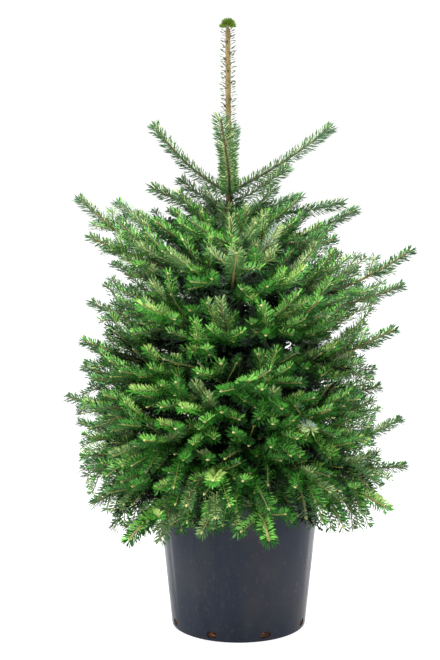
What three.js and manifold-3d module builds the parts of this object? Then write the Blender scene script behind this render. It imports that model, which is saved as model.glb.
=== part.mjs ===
// A potted Korean fir: a nursery container full of soil, a tapered trunk with its leader,
// whorls of boughs, and on each bough a mass of foliage whose twigs carry toothed sprays of needles.
// Millimetres, +Z up, origin at the centre of the pot's flat underside, front towards -Y.

import * as THREE from 'three';
import { mergeVertices } from 'three/addons/utils/BufferGeometryUtils.js';
import Module from 'manifold-3d';

const wasm = await Module();
wasm.setup();

// Overall height, and the gap between pieces that touch
const TREE_TOP = 1300;
const GAP = 0.3;

// Pot: a moulded container with a plain tapered wall, a rolled rim and drain holes at its foot.
// Foliage that droops over it is cut a space clear.
const POT = {
  height: 300,
  footRadius: 145.5,
  taper: 0.104,
  wall: 2.5,
  floor: 3,
  rimWidth: 5,
  rimDepth: 12,
  holes: 8,
  holeWidth: 20,
  holeDepth: 14,
  holeHeight: 14,
  holeDrill: 24,
  edge: 1.5,
  space: 1,
  facets: 32,
};

// Soil: fills the pot to a little under the rim, highest round the trunk
const SOIL = { top: 268, edgeDrop: 6, crownRadius: 34 };

// Trunk: flat cut at soil level, root flare, true taper and a slight lean that straightens upwards
const TRUNK = {
  base: SOIL.top + GAP,
  tip: 1276,
  lean: -22.5,
  flareRadius: 8,
  flareHeight: 26,
  flareLobes: 5,
  lobeDepth: 0.3,
  footCrowding: 1.25,
  sides: 8,
  rings: 20,
};
// Height above the soil, as a share of the trunk, and the radius there
const TAPER = [[0, 18.5], [0.3, 13.5], [0.62, 7.6], [0.67, 6], [1, 4.7]];

// Leader: the last year's shoot, with thin needles that stand out all round and a tuft at its tip.
// The lowest and highest rows start this far above its foot and below its tip.
const LEADER = {
  foot: 958,
  bark: 1.1,
  sleeveRings: 3,
  firstNeedle: 6,
  lastNeedle: 14,
  needleRows: 9,
  needlesPerRow: 3,
  needleLength: 17,
  needleRadius: 1.3,
  needleLift: 0.35,
  sunk: 2,
  tuftNeedles: 9,
  tuftLength: 21,
  tuftRadius: 1.7,
  tuftLift: 1.15,
};

// Whorls from the soil up. Each has its height on the trunk, how far above or below it a limb may
// leave, how far its limbs bow upwards in the middle, the limb's radius at the trunk, where side
// twigs leave it as shares of its length, and one row for each limb: compass angle in degrees from
// +X, reach of the tip, rise of the tip above the whorl, and its own bow if it differs.
const OLD_NODES = [0.34, 0.56, 0.78];
const WHORLS = [
  { height: 325, stagger: 8, bow: 28, radius: 6, woody: true, nodes: OLD_NODES,
    limbs: [[-32, 353, -25], [-80, 345, -50], [-127, 350, -65], [-172, 310, -52],
      [122, 335, -30], [62, 345, -25], [10, 371, 5, -4]] },
  { height: 370, stagger: 0, bow: 6, radius: 6.5, woody: false, nodes: OLD_NODES,
    limbs: [[187, 327, 5], [-98, 320, 15]] },
  { height: 415, stagger: 20, bow: -10, radius: 7.5, woody: true, nodes: OLD_NODES,
    limbs: [[20, 390, 6, -40], [-54, 310, 95], [-122, 330, 40], [162, 391, 60], [90, 350, 40]] },
  { height: 465, stagger: 0, bow: -5, radius: 6.5, woody: false, nodes: OLD_NODES,
    limbs: [[176, 322, 92], [3, 308, 50]] },
  { height: 510, stagger: 24, bow: -8, radius: 6.5, woody: false, nodes: OLD_NODES,
    limbs: [[-15, 340, 140], [-85, 335, 70], [-170, 317, 112], [125, 335, 90], [52, 335, 90]] },
  { height: 605, stagger: 36, bow: -12, radius: 6, woody: false, nodes: OLD_NODES,
    limbs: [[12, 376, 125], [-57, 305, 118], [-125, 300, 110], [168, 312, 88], [92, 330, 105]] },
  { height: 700, stagger: 20, bow: -14, radius: 5.2, woody: false, nodes: OLD_NODES,
    limbs: [[-8, 375, 112, -36], [-88, 310, 120], [178, 321, 218], [110, 320, 150], [50, 320, 140]] },
  { height: 745, stagger: 0, bow: -12, radius: 4.8, woody: false, nodes: OLD_NODES,
    limbs: [[198, 300, 97]] },
  { height: 795, stagger: 22, bow: -12, radius: 4.4, woody: false, nodes: [0.3, 0.65],
    limbs: [[27, 308, 100], [-45, 175, 75], [-135, 208, 79], [147, 300, 115], [88, 270, 110]] },
  { height: 881, stagger: 0, bow: -5, radius: 2.8, woody: false, nodes: [],
    limbs: [[175, 160, 62], [8, 238, 30], [48, 205, 40]] },
  { height: 936, stagger: 0, bow: -24, radius: 3.6, woody: false, nodes: [],
    limbs: [[180, 155, 134, -18], [5, 211, 133, -8], [-95, 173, 141], [88, 170, 140]] },
];

// A woody bough ends, and its foliage begins, at this share of the limb's length
const BOUGH_END = 0.3;
const LIMB_TIP_RADIUS = 1.7;
const SWAY = 0.05;

// A limb is needled from this far behind its last node, and its stem runs a little further
const NEEDLED_BEHIND = 0.2;
const STEM_OVERLAP = 0.12;

// Growth: at each node two side twigs leave the limb, a step long for each year that is left, and
// each year's step is shorter than the last. Angles are in degrees. Lifts are shares of a step:
// every step lifts a little, and a side twig tilts up or down out of its layer.
const FORK_ANGLE = 54;
const FORK_SPREAD = 14;
const FORK_TILT = 0.4;
const LEAST_TILT = 0.7;
const FORK_SHRINK = 0.82;
const YEARLY_SHRINK = 0.9;
const YEARLY_UNEVEN = 0.2;
const YEARLY_LIFT = 0.1;
const YEARLY_TURN = 9;

// Sprays: a three-sided core that has rows of needle teeth in its outer stretch, swept forward
const SPRAY = {
  reach: 42,
  core: 16,
  rootCore: 9,
  pitch: 44,
  longTwig: 156,
  sweep: 1.1,
  tipGap: 0.5,
  endFullness: 0.75,
  youngShare: 0.62,
};

// Core of a dense mass: from one share of the limb's length to another, its half width as a share
// of the limb's reach, its half height, how far round its ends are closed and how uneven it is
const HEART = {
  from: 0.32,
  to: 0.9,
  halfWidth: 0.19,
  halfHeight: 36,
  closed: 0.92,
  uneven: 0.6,
  sides: 6,
  rings: 3,
};

// Space: heights count this many times when the nearest limb is found, as the layers lie flat
const LAYER_FLATNESS = 1.5;
const SPACE_MARGIN = 1;
const POT_CLEARANCE = 6;
const TRUNK_CLEARANCE = 3;

const COLOURS = {
  pot: [0x33363d, 0.45],
  soil: [0x3d2a1d, 1],
  bark: [0x8a7450, 0.9],
  needles: [0x3f6b34, 0.6],
};

const UP = new THREE.Vector3(0, 0, 1);
const ROWS = [0, 120, 240];
// Shares of its full length that a point is drawn in to, one after the other, until it fits
const DRAWS = [1, 0.85, 0.7, 0.55, 0.4, 0.25];
const GOLDEN_ANGLE = 137.5;
const { clamp, degToRad, lerp, mapLinear } = THREE.MathUtils;

// A repeatable number between 0 and 1 for each key
function chance(key) {
  const value = Math.sin(key * 12.9898) * 43758.5453;
  return value - Math.floor(value);
}

function potRadius(z) {
  return POT.footRadius + POT.taper * z;
}

function trunkShare(z) {
  return clamp((z - SOIL.top) / (TRUNK.tip - SOIL.top), 0, 1);
}

function trunkAxis(z) {
  const rest = 1 - trunkShare(z);
  return new THREE.Vector3(TRUNK.lean * (1 - rest * rest), 0, z);
}

function trunkRadius(z) {
  const share = trunkShare(z);
  const above = TAPER.findIndex(([at]) => at >= share && at > 0);
  const [lowAt, lowRadius] = TAPER[above - 1];
  const [highAt, highRadius] = TAPER[above];
  return mapLinear(share, lowAt, highAt, lowRadius, highRadius);
}

// --- Solids ----------------------------------------------------------------------------------

// Leaves only positions, shares them between faces and drops faces that have no area
function weld(geometry) {
  geometry.deleteAttribute('normal');
  geometry.deleteAttribute('uv');
  const merged = mergeVertices(geometry, 1e-4);
  const index = merged.index.array;
  const kept = [];
  for (let i = 0; i < index.length; i += 3) {
    const [a, b, c] = [index[i], index[i + 1], index[i + 2]];
    if (a !== b && b !== c && c !== a) kept.push(a, b, c);
  }
  merged.setIndex(kept);
  return merged;
}

function solid(geometry) {
  const welded = weld(geometry);
  return new wasm.Manifold(new wasm.Mesh({
    numProp: 3,
    vertProperties: new Float32Array(welded.attributes.position.array),
    triVerts: new Uint32Array(welded.index.array),
  }));
}

// The largest body of a solid, without loose scraps or sealed hollows
function mainBody(whole) {
  return whole.decompose().reduce((best, body) => (body.volume() > best.volume() ? body : best));
}

function geometryOf(whole) {
  const mesh = whole.getMesh();
  const geometry = new THREE.BufferGeometry();
  geometry.setAttribute('position', new THREE.BufferAttribute(mesh.vertProperties, 3));
  geometry.setIndex(new THREE.BufferAttribute(mesh.triVerts, 1));
  geometry.computeVertexNormals();
  return geometry;
}

function meshOf(name, whole, [color, roughness]) {
  const material = new THREE.MeshStandardMaterial({ color, roughness, metalness: 0, flatShading: true });
  const mesh = new THREE.Mesh(geometryOf(whole), material);
  mesh.name = name;
  return mesh;
}

// A cylinder bent along a line: at(t) gives the centre, radius(t, angle) the size, for t from 0 to 1.
// Its rings are square to the line, or level where it is upright. Where fits is given, each point
// is drawn in until it fits.
function limbGeometry(at, radius, { sides, rings, upright = false, fits = () => true }) {
  const geometry = new THREE.CylinderGeometry(1, 1, 1, sides, rings);
  const position = geometry.attributes.position;
  for (let i = 0; i < position.count; i++) {
    const t = position.getY(i) + 0.5;
    const spread = Math.hypot(position.getX(i), position.getZ(i));
    const angle = Math.atan2(position.getZ(i), position.getX(i));
    const ahead = upright ? UP.clone() : at(Math.min(1, t + 0.01)).sub(at(Math.max(0, t - 0.01))).normalize();
    const side = sideways(ahead);
    const down = side.clone().cross(ahead);
    const aside = side.multiplyScalar(Math.cos(angle)).addScaledVector(down, Math.sin(angle));
    const drawn = DRAWS.map((draw) => at(t).addScaledVector(aside, spread * radius(t, angle) * draw));
    const point = drawn.find(fits) ?? drawn.at(-1);
    position.setXYZ(i, point.x, point.y, point.z);
  }
  return geometry;
}

// The level direction to the left of a heading
function sideways(heading) {
  const side = UP.clone().cross(heading);
  return side.lengthSq() < 1e-3 ? new THREE.Vector3(1, 0, 0) : side.normalize();
}

// A heading turned to the left by some degrees and lifted a little
function turn(heading, degrees, lift) {
  const side = sideways(heading);
  const above = heading.clone().cross(side);
  return heading.clone().multiplyScalar(Math.cos(degToRad(degrees)))
    .addScaledVector(side, Math.sin(degToRad(degrees)))
    .addScaledVector(above, lift)
    .normalize();
}

// --- Pot and soil ----------------------------------------------------------------------------

function lathe(profile) {
  const points = profile.map(([radius, z]) => new THREE.Vector2(radius, z));
  return solid(new THREE.LatheGeometry(points, POT.facets).rotateX(Math.PI / 2));
}

function potSolid() {
  const neck = POT.height - POT.rimDepth;
  const lip = potRadius(POT.height) + POT.rimWidth;
  const shell = lathe([
    [0, 0],
    [POT.footRadius - POT.edge, 0],
    [potRadius(POT.edge), POT.edge],
    [potRadius(neck), neck],
    [lip - POT.edge, neck + POT.edge],
    [lip, neck + 3 * POT.edge],
    [lip - POT.edge, POT.height],
    [potRadius(POT.height) - POT.wall, POT.height],
    [potRadius(POT.floor) - POT.wall, POT.floor],
    [0, POT.floor],
  ]);
  let pot = shell;
  for (let i = 0; i < POT.holes; i++) {
    const angle = ((i + 0.5) / POT.holes) * 2 * Math.PI;
    const hole = new THREE.CylinderGeometry(POT.holeWidth / 2, POT.holeWidth / 2, POT.holeDrill, 8)
      .scale(1, 1, POT.holeDepth / POT.holeWidth)
      .rotateZ(Math.PI / 2)
      .rotateX(Math.PI / 2)
      .translate(potRadius(POT.holeHeight), 0, POT.holeHeight)
      .rotateZ(angle);
    pot = pot.subtract(solid(hole));
  }
  return pot;
}

// The space over and round the filled pot that drooping foliage is cut clear of
function potSpaceSolid() {
  const neck = POT.height - POT.rimDepth;
  const top = POT.height + POT.space;
  const lip = potRadius(top) + POT.rimWidth + POT.space;
  const wall = (z) => potRadius(z) + POT.space;
  return lathe([[0, 0], [wall(0), 0], [wall(neck), neck - POT.space], [lip, neck], [lip, top], [0, top]]);
}

function soilSolid() {
  const inner = (z) => potRadius(z) - POT.wall - GAP;
  const low = POT.floor + GAP;
  const edge = SOIL.top - SOIL.edgeDrop;
  return lathe([[0, low], [inner(low), low], [inner(edge), edge], [SOIL.crownRadius, SOIL.top], [0, SOIL.top]]);
}

// --- Trunk and leader ------------------------------------------------------------------------

function flare(z, angle) {
  const lobes = 1 + TRUNK.lobeDepth * Math.sin(TRUNK.flareLobes * angle);
  return TRUNK.flareRadius * Math.exp(-(z - TRUNK.base) / TRUNK.flareHeight) * lobes;
}

// The trunk, or with some growth the space that other pieces leave round it
function trunkSolid(growth) {
  const low = TRUNK.base - growth;
  const high = TRUNK.tip + growth;
  const height = (t) => lerp(low, high, t ** TRUNK.footCrowding);
  const at = (t) => trunkAxis(height(t));
  const radius = (t, angle) => trunkRadius(height(t)) + flare(height(t), angle) + growth;
  return solid(limbGeometry(at, radius, { ...TRUNK, upright: true }));
}

function needle(root, heading, length, radius) {
  const turned = new THREE.Quaternion().setFromUnitVectors(new THREE.Vector3(0, 1, 0), heading);
  return solid(new THREE.ConeGeometry(radius, length, 3)
    .translate(0, length / 2, 0)
    .applyQuaternion(turned)
    .translate(root.x, root.y, root.z));
}

// A heading at an angle in degrees round the leader, from its shares outwards and upwards
function aroundLeader(angle, out, lift) {
  const turned = degToRad(angle);
  return new THREE.Vector3(out * Math.cos(turned), out * Math.sin(turned), lift).normalize();
}

// A thin sleeve of bark over the leader, cut clear of it, with the needles fused on
function leaderNeedles(trunkSpace) {
  const top = TRUNK.tip + GAP + LEADER.sunk;
  const height = (t) => lerp(LEADER.foot, top, t);
  const at = (t) => trunkAxis(height(t));
  const outside = (t) => trunkRadius(height(t)) + LEADER.bark;
  let sleeve = solid(limbGeometry(at, outside, { sides: TRUNK.sides, rings: LEADER.sleeveRings, upright: true }));
  const [lowest, highest] = [LEADER.foot + LEADER.firstNeedle, TRUNK.tip - LEADER.lastNeedle];
  for (let i = 0; i < LEADER.needleRows * LEADER.needlesPerRow; i++) {
    const row = Math.floor(i / LEADER.needlesPerRow) + 0.5 * chance(i);
    const z = lerp(lowest, highest, row / LEADER.needleRows);
    const heading = aroundLeader(GOLDEN_ANGLE * i, 1, LEADER.needleLift);
    const root = trunkAxis(z).addScaledVector(heading, trunkRadius(z) - LEADER.sunk);
    sleeve = sleeve.add(needle(root, heading, LEADER.needleLength, LEADER.needleRadius));
  }
  const root = trunkAxis(top - LEADER.sunk / 2);
  sleeve = sleeve.add(needle(root, UP, TREE_TOP - root.z, LEADER.tuftRadius));
  for (let i = 1; i < LEADER.tuftNeedles; i++) {
    const out = Math.sqrt(i / LEADER.tuftNeedles);
    const heading = aroundLeader(GOLDEN_ANGLE * i, out, lerp(LEADER.tuftLift, LEADER.needleLift, out));
    sleeve = sleeve.add(needle(root, heading, LEADER.tuftLength, LEADER.tuftRadius));
  }
  return mainBody(sleeve.subtract(trunkSpace));
}

// --- Limbs -----------------------------------------------------------------------------------

// Every limb of every whorl, with its own key for the seeded rule
function allLimbs() {
  return WHORLS.flatMap((whorl, w) => whorl.limbs.map(([azimuth, reach, rise, bow = whorl.bow], i) => ({
    ...whorl,
    azimuth: degToRad(azimuth),
    reach,
    rise,
    bow,
    name: `${w + 1}_${i + 1}`,
    key: 1000 * (w + 1) + 100 * i,
  })));
}

// The centreline of a limb at a share of its length
function limbAxis(limb, share) {
  const out = limb.reach * share;
  const aside = SWAY * limb.reach * (2 * chance(limb.key) - 1) * Math.sin(Math.PI * share);
  const stagger = limb.stagger * (2 * chance(limb.key + 50) - 1) * (1 - share);
  const height = limb.height + stagger + limb.rise * share + 4 * limb.bow * share * (1 - share);
  const root = trunkAxis(limb.height);
  const [cos, sin] = [Math.cos(limb.azimuth), Math.sin(limb.azimuth)];
  return new THREE.Vector3(root.x + out * cos - aside * sin, out * sin + aside * cos, height);
}

function limbHeading(limb, share) {
  return limbAxis(limb, share + 0.01).sub(limbAxis(limb, share - 0.01)).normalize();
}

function limbRadius(limb, share) {
  return lerp(limb.radius, LIMB_TIP_RADIUS, Math.sqrt(share));
}

// A stretch of a limb as a solid
function limbSolid(limb, from, to, sides, rings) {
  const share = (t) => lerp(from, to, t);
  return solid(limbGeometry((t) => limbAxis(limb, share(t)), (t) => limbRadius(limb, share(t)), { sides, rings }));
}

// --- Space -----------------------------------------------------------------------------------

const limbs = allLimbs();
const LINE_SHARES = [0.04, 0.25, 0.5, 0.75, 1];
for (const limb of limbs) limb.line = LINE_SHARES.map((share) => limbAxis(limb, share));
const leaderLine = [trunkAxis(LEADER.foot), trunkAxis(TREE_TOP)];

// Distance from a point to a line of points, with heights stretched
function flattenedDistance(point, line) {
  const stretch = new THREE.Vector3(1, 1, LAYER_FLATNESS);
  const target = point.clone().multiply(stretch);
  let nearest = Infinity;
  for (let i = 0; i + 1 < line.length; i++) {
    const segment = new THREE.Line3(line[i].clone().multiply(stretch), line[i + 1].clone().multiply(stretch));
    const close = segment.closestPointToPoint(target, true, new THREE.Vector3());
    nearest = Math.min(nearest, close.distanceTo(target));
  }
  return nearest;
}

// True where a point is nearer its own limb than any other, and clear of pot, soil and trunk
function inSpace(limb, point) {
  const out = Math.hypot(point.x, point.y);
  const overPot = out < potRadius(POT.height) + POT.rimWidth + POT_CLEARANCE;
  if (point.z < (overPot ? POT.height + POT_CLEARANCE : 0)) return false;
  const fromTrunk = Math.hypot(point.x - trunkAxis(point.z).x, point.y);
  if (fromTrunk < trunkRadius(point.z) + TRUNK_CLEARANCE) return false;
  const own = flattenedDistance(point, limb.line) + SPACE_MARGIN;
  const others = limbs.filter((other) => other !== limb).map((other) => other.line);
  return [...others, leaderLine].every((line) => own < flattenedDistance(point, line));
}

// --- Foliage ---------------------------------------------------------------------------------

// The points of a side twig, from its node outwards
function growTwig(limb, start, heading, years, step, key) {
  const points = [start];
  let way = heading;
  for (let year = 0; year < years; year++) {
    const length = step * YEARLY_SHRINK ** year * (1 + YEARLY_UNEVEN * (chance(key + year) - 0.5));
    const next = points.at(-1).clone().addScaledVector(way, length);
    if (!inSpace(limb, next)) break;
    points.push(next);
    way = turn(way, YEARLY_TURN * (2 * chance(key + 31 * year) - 1), YEARLY_LIFT);
  }
  return points;
}

// The share of its length from which a limb itself is needled
function needledFrom(limb) {
  return limb.nodes.length ? limb.nodes.at(-1) - NEEDLED_BEHIND : NEEDLED_BEHIND;
}

// All the twigs of a limb: its own needled end and a pair from each node, tilted to either side of
// the layer by turns
function limbTwigs(limb) {
  const own = [0, 1 / 3, 2 / 3, 1].map((t) => limbAxis(limb, lerp(needledFrom(limb), 1, t)));
  const twigs = [{ points: own, key: limb.key }];
  const hand = chance(limb.key + 70) < 0.5 ? -1 : 1;
  limb.nodes.forEach((share, i) => {
    const years = limb.nodes.length - i;
    const step = limb.reach * ((1 - limb.nodes[0]) / limb.nodes.length) * FORK_SHRINK;
    const way = limbHeading(limb, share);
    for (const side of [-1, 1]) {
      const key = limb.key + 10 * i + side + 2;
      const tilt = side * hand * (i % 2 ? -1 : 1) * lerp(LEAST_TILT, 1, chance(key + 7));
      const angle = side * (FORK_ANGLE + FORK_SPREAD * (chance(key) - 0.5));
      const heading = turn(way, angle, YEARLY_LIFT + FORK_TILT * tilt);
      const points = growTwig(limb, limbAxis(limb, share), heading, years, step, key);
      if (points.length > 1) twigs.push({ points, key });
    }
  });
  return twigs;
}

// A spray along a twig: a ring of three core corners at each station, and in the outer stretch
// three teeth between two rings. Each tooth is drawn in until it lies in the limb's own space.
function sprayGeometry(limb, twig) {
  const curve = new THREE.CatmullRomCurve3(twig.points);
  const length = curve.getLength();
  const young = limb.nodes.length === 0;
  const most = young ? Infinity : length > SPRAY.longTwig ? 2 : 1;
  const rows = clamp(Math.round(length / SPRAY.pitch - SPRAY.tipGap), 1, most);
  const pitch = Math.min(SPRAY.pitch, length / (rows + SPRAY.tipGap));
  const bare = length - pitch * (rows + SPRAY.tipGap);
  const reach = SPRAY.reach * (young ? SPRAY.youngShare : 1);
  const roll = 360 * chance(twig.key + 5);
  const points = [];
  const faces = [];
  const put = (point) => points.push(point) - 1;
  // The point at a distance from a station's centre, at an angle in degrees round the twig
  const around = ({ centre, side, above }, angle, distance) => centre.clone()
    .addScaledVector(side, distance * Math.cos(degToRad(angle)))
    .addScaledVector(above, distance * Math.sin(degToRad(angle)));
  const station = (distance, row) => {
    const share = clamp(distance / length, 0, 1);
    const ahead = curve.getTangentAt(share);
    const side = sideways(ahead);
    const here = { centre: curve.getPointAt(share), ahead, side, above: ahead.clone().cross(side) };
    here.fullness = lerp(SPRAY.endFullness, 1, Math.sin((Math.PI * row) / rows));
    const core = distance < 1 ? SPRAY.rootCore : SPRAY.core * here.fullness * (young ? SPRAY.youngShare : 1);
    here.ring = ROWS.map((angle) => put(around(here, roll + angle - 60, core)));
    return here;
  };
  const stations = Array.from({ length: rows + 1 }, (_, row) => station(bare + row * pitch, row));
  for (let row = 0; row < rows; row++) {
    const [here, next] = [stations[row], stations[row + 1]];
    ROWS.forEach((angle, j) => {
      const tips = DRAWS.slice(0, 4).map((draw) => around(here, roll + angle, reach * here.fullness * draw)
        .addScaledVector(here.ahead, SPRAY.sweep * pitch));
      const tip = put(tips.find((point) => inSpace(limb, point)) ?? tips.at(-1));
      const k = (j + 1) % ROWS.length;
      const [a, b, c, d] = [here.ring[j], here.ring[k], next.ring[k], next.ring[j]];
      faces.push(a, b, tip, b, c, tip, c, d, tip, d, a, tip);
    });
  }
  let first = stations[0].ring;
  if (bare > SPRAY.core) {
    const root = station(0, 0).ring;
    ROWS.forEach((_, j) => {
      const k = (j + 1) % ROWS.length;
      faces.push(root[j], root[k], first[k], root[j], first[k], first[j]);
    });
    first = root;
  }
  const end = put(curve.getPointAt(1));
  faces.push(first[0], first[2], first[1]);
  stations.at(-1).ring.forEach((corner, j, last) => faces.push(corner, last[(j + 1) % last.length], end));
  const geometry = new THREE.BufferGeometry().setFromPoints(points);
  geometry.setIndex(faces);
  return geometry;
}

// The core of a mass: an uneven flattened lump along the limb, drawn in to the limb's own space
function heartGeometry(limb) {
  const at = (t) => limbAxis(limb, lerp(HEART.from, HEART.to, t));
  const radius = (t, angle) => {
    const fullness = Math.sin(Math.PI * lerp(1 - HEART.closed, HEART.closed, t));
    const [wide, high] = [HEART.halfWidth * limb.reach * fullness, HEART.halfHeight * Math.sqrt(fullness)];
    const bump = 1 + HEART.uneven * (chance(limb.key + 10 * t + angle) - 0.5);
    return bump / Math.hypot(Math.cos(angle) / wide, Math.sin(angle) / high);
  };
  return limbGeometry(at, radius, { ...HEART, fits: (point) => inSpace(limb, point) });
}

// The mass of one limb: its stem, its core and its sprays fused, cut clear of the space kept free
function foliageSolid(limb, kept) {
  const stemFrom = limb.woody ? BOUGH_END + GAP / limb.reach : 0;
  let mass = limbSolid(limb, stemFrom, needledFrom(limb) + STEM_OVERLAP, 3, 2);
  if (limb.nodes.length) mass = mass.add(solid(heartGeometry(limb)));
  for (const twig of limbTwigs(limb)) mass = mass.add(solid(sprayGeometry(limb, twig)));
  return mainBody(mass.subtract(kept));
}

// --- The tree --------------------------------------------------------------------------------

const tree = new THREE.Group();
const trunkSpace = trunkSolid(GAP);
const potSpace = potSpaceSolid();

tree.add(meshOf('pot', potSolid(), COLOURS.pot));
tree.add(meshOf('soil', soilSolid(), COLOURS.soil));
tree.add(meshOf('trunk', trunkSolid(0), COLOURS.bark));
tree.add(meshOf('leader_needles', leaderNeedles(trunkSpace), COLOURS.needles));
for (const limb of limbs) {
  if (limb.woody) {
    const bough = mainBody(limbSolid(limb, 0, BOUGH_END, 5, 2).subtract(trunkSpace));
    tree.add(meshOf(`bough_${limb.name}`, bough, COLOURS.bark));
  }
  tree.add(meshOf(`foliage_${limb.name}`, foliageSolid(limb, limb.woody ? potSpace : trunkSpace), COLOURS.needles));
}

export default tree;
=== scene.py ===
import math

import bpy
import numpy as np
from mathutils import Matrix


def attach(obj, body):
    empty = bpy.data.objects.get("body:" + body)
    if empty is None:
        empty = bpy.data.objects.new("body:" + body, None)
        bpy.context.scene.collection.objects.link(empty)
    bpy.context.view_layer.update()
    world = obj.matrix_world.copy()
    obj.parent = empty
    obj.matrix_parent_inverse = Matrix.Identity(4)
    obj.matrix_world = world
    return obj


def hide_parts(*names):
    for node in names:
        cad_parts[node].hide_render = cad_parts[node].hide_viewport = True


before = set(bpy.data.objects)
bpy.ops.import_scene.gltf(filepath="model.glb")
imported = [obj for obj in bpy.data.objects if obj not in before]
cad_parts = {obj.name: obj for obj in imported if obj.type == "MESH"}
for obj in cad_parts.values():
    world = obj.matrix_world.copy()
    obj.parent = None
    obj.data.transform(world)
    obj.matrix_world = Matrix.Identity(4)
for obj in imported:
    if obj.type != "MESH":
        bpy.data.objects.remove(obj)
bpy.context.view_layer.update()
MM = 0.001


# --- Pot ---------------------------------------------------------------------
# A nursery container blow-moulded from recycled polyethylene, slate grey and a little dusty. Its
# wall tapers to the foot, its rim is rolled outwards, and pairs of round holes that run into each
# other are punched through the foot of the wall to let water out.
POT_HEIGHT = 300
POT_FOOT = 145.5
POT_TAPER = 0.104
POT_WALL = 2.5
POT_FLOOR = 3
POT_RIM = 5
POT_RIM_DEPTH = 12
POT_SIDES = 128
# Heights of the rings up the outside of the wall and down its inside
OUTER_RINGS = (9, 24, 60, 120, 180, 240)
INNER_RINGS = (200, 100, 24, 6, POT_FLOOR)
# The rings that close the underside and the floor
UNDERSIDE_RING = 100
FLOOR_RING = 90
SHARP_EDGE = 34
POT_HOLES = 8
HOLE_HEIGHT = 14
HOLE_LOBE = 7.2
HOLE_LOBE_APART = 8.8
HOLE_SIDES = 24
CUTTER_LENGTH = 24
# Upright streaks of painted reflection on the wall, where the side lamps glint: place and half width
# as shares of the turn, and how light
PAINTED_REFLECTION_STREAKS = ((0.333, 0.007, 0.5), (0.688, 0.014, 0.55))
REFLECTION_STREAK_HEIGHTS = (30, 160)


def pot_radius(z):
    return POT_FOOT + POT_TAPER * z


def start_fresh():
    """Leaves edit mode and deselects everything, so that the next operator acts on its own piece."""
    if bpy.context.object and bpy.context.object.mode != "OBJECT":
        bpy.ops.object.mode_set(mode="OBJECT")
    bpy.ops.object.select_all(action="DESELECT")


def upright(z):
    return np.array((0, 0, z))


def turned_up(name, profile, sides, axis=upright):
    """A round piece drawn up its axis from (radius, height) pairs, closed at both ends."""
    start_fresh()
    radius, height = profile[0]
    bpy.ops.mesh.primitive_circle_add(
        vertices=sides, radius=radius * MM, location=tuple(axis(height) * MM)
    )
    piece = bpy.context.object
    piece.name = name
    bpy.ops.object.transform_apply(location=True, rotation=True, scale=True)
    bpy.ops.object.mode_set(mode="EDIT")
    bpy.ops.mesh.select_all(action="SELECT")
    bpy.ops.mesh.edge_face_add()
    bpy.ops.mesh.select_all(action="SELECT")
    bpy.ops.mesh.flip_normals()
    for (last, low), (radius, height) in zip(profile, profile[1:]):
        move = {"value": tuple((axis(height) - axis(low)) * MM)}
        bpy.ops.mesh.extrude_region_move(TRANSFORM_OT_translate=move)
        grow, centre = radius / last, tuple(axis(height) * MM)
        bpy.ops.transform.resize(value=(grow, grow, 1), center_override=centre)
    bpy.ops.object.mode_set(mode="OBJECT")
    return piece


def finish_with(piece, kind, **settings):
    """Puts a modifier on the piece and applies it."""
    start_fresh()
    bpy.context.view_layer.objects.active = piece
    piece.select_set(True)
    modifier = piece.modifiers.new(kind.title(), kind)
    for key, value in settings.items():
        setattr(modifier, key, value)
    bpy.ops.object.modifier_apply(modifier=modifier.name)


def make_solid_outwards(piece):
    """Merges the piece's doubles and turns its faces outwards."""
    start_fresh()
    bpy.context.view_layer.objects.active = piece
    piece.select_set(True)
    bpy.ops.object.mode_set(mode="EDIT")
    bpy.ops.mesh.select_all(action="SELECT")
    bpy.ops.mesh.remove_doubles(threshold=0.00001)
    bpy.ops.mesh.normals_make_consistent(inside=False)
    bpy.ops.object.mode_set(mode="OBJECT")


neck = POT_HEIGHT - POT_RIM_DEPTH
lip = pot_radius(POT_HEIGHT) + POT_RIM
inside = pot_radius(POT_HEIGHT) - POT_WALL
pot = turned_up(
    "nursery_pot",
    [(UNDERSIDE_RING, 0), (POT_FOOT - 2, 0), (pot_radius(0.6), 0.6), (pot_radius(2.6), 2.6)]
    + [(pot_radius(z), z) for z in (*OUTER_RINGS, neck - 3)]
    + [(pot_radius(neck) + 0.4, neck), (lip - 1.2, neck + 1.2), (lip, neck + 3)]
    + [(lip, neck + 8), (lip - 1, neck + 10.8), (lip - 3, POT_HEIGHT)]
    + [(inside + 1.2, POT_HEIGHT), (inside, POT_HEIGHT - 1.5)]
    + [(pot_radius(z) - POT_WALL, z) for z in INNER_RINGS]
    + [(FLOOR_RING, POT_FLOOR)],
    POT_SIDES,
)
cutters = []
hole_out = pot_radius(HOLE_HEIGHT) * MM
for hole in range(POT_HOLES):
    angle = 2 * math.pi * (hole + 0.5) / POT_HOLES
    for lobe in (-0.5, 0.5):
        aside = lobe * HOLE_LOBE_APART * MM
        start_fresh()
        bpy.ops.mesh.primitive_cylinder_add(
            vertices=HOLE_SIDES,
            radius=HOLE_LOBE * MM,
            depth=CUTTER_LENGTH * MM,
            location=(
                hole_out * math.cos(angle) - aside * math.sin(angle),
                hole_out * math.sin(angle) + aside * math.cos(angle),
                (HOLE_HEIGHT + lobe) * MM,
            ),
            rotation=(0, math.pi / 2, angle),
        )
        cutters.append(bpy.context.object)
for cutter in cutters:
    finish_with(pot, "BOOLEAN", operation="DIFFERENCE", object=cutter, solver="EXACT")
    bpy.data.objects.remove(cutter)
make_solid_outwards(pot)
bpy.ops.object.shade_smooth_by_angle(angle=math.radians(SHARP_EDGE))


def colour(code):
    """The linear colour of a hexadecimal screen colour."""
    parts = [int(code[i : i + 2], 16) / 255 for i in (0, 2, 4)]
    return [p / 12.92 if p <= 0.04045 else ((p + 0.055) / 1.055) ** 2.4 for p in parts] + [1]


def grey(value):
    return (value, value, value, 1)


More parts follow.
